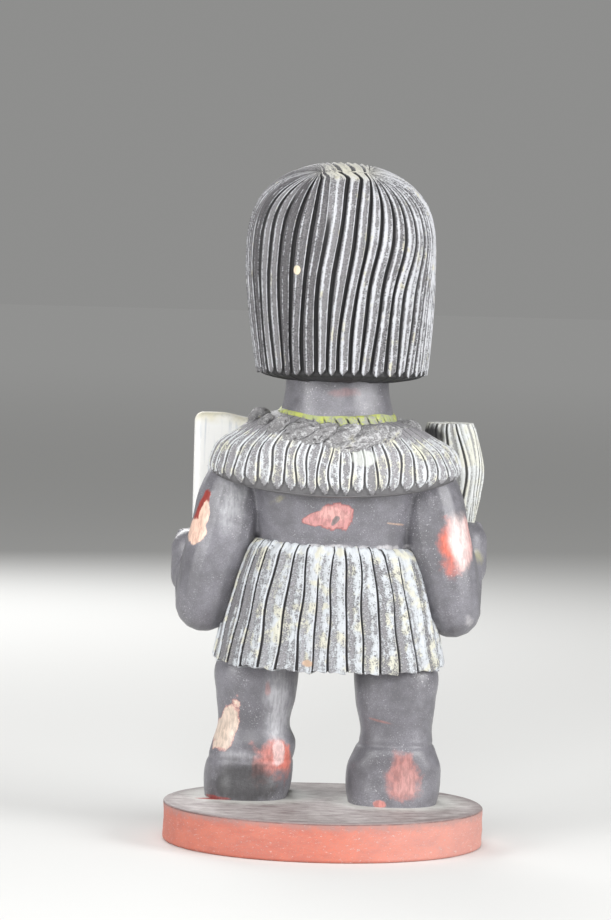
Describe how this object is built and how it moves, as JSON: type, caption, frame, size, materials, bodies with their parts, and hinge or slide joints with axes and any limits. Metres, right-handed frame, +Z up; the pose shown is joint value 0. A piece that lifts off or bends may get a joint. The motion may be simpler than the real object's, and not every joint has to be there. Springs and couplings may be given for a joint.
{
  "type": "vodun statue",
  "caption": "Carved and painted wooden standing figure on a round plinth, with a cap of carved locks, fluted collar and skirt, and a thing held in each hand.",
  "frame": {"origin": "centre of the round plinth's underside, which is the rest face", "axes": "+Z up, the figure faces -Y, and its left hand is towards +X"},
  "size_m": [0.212, 0.212, 0.45],
  "materials": {
    "charcoal_paint": "charcoal grey paint on carved wood, satin, rubbed and scuffed, with patches of pink and red paint",
    "dry_brushed_white": "cream-white paint dragged over the ridges of charcoal-painted carving, grooves left dark, flaking",
    "white_paint": "smooth off-white paint on wood, faintly streaked along the grain",
    "red_paint": "coral-red paint on the plinth's side, scuffed and dusty, with a grey-brown worn top"
  },
  "bodies": {
    "root": {"vodun_statue": "charcoal_paint"}
  },
  "joints": []
}
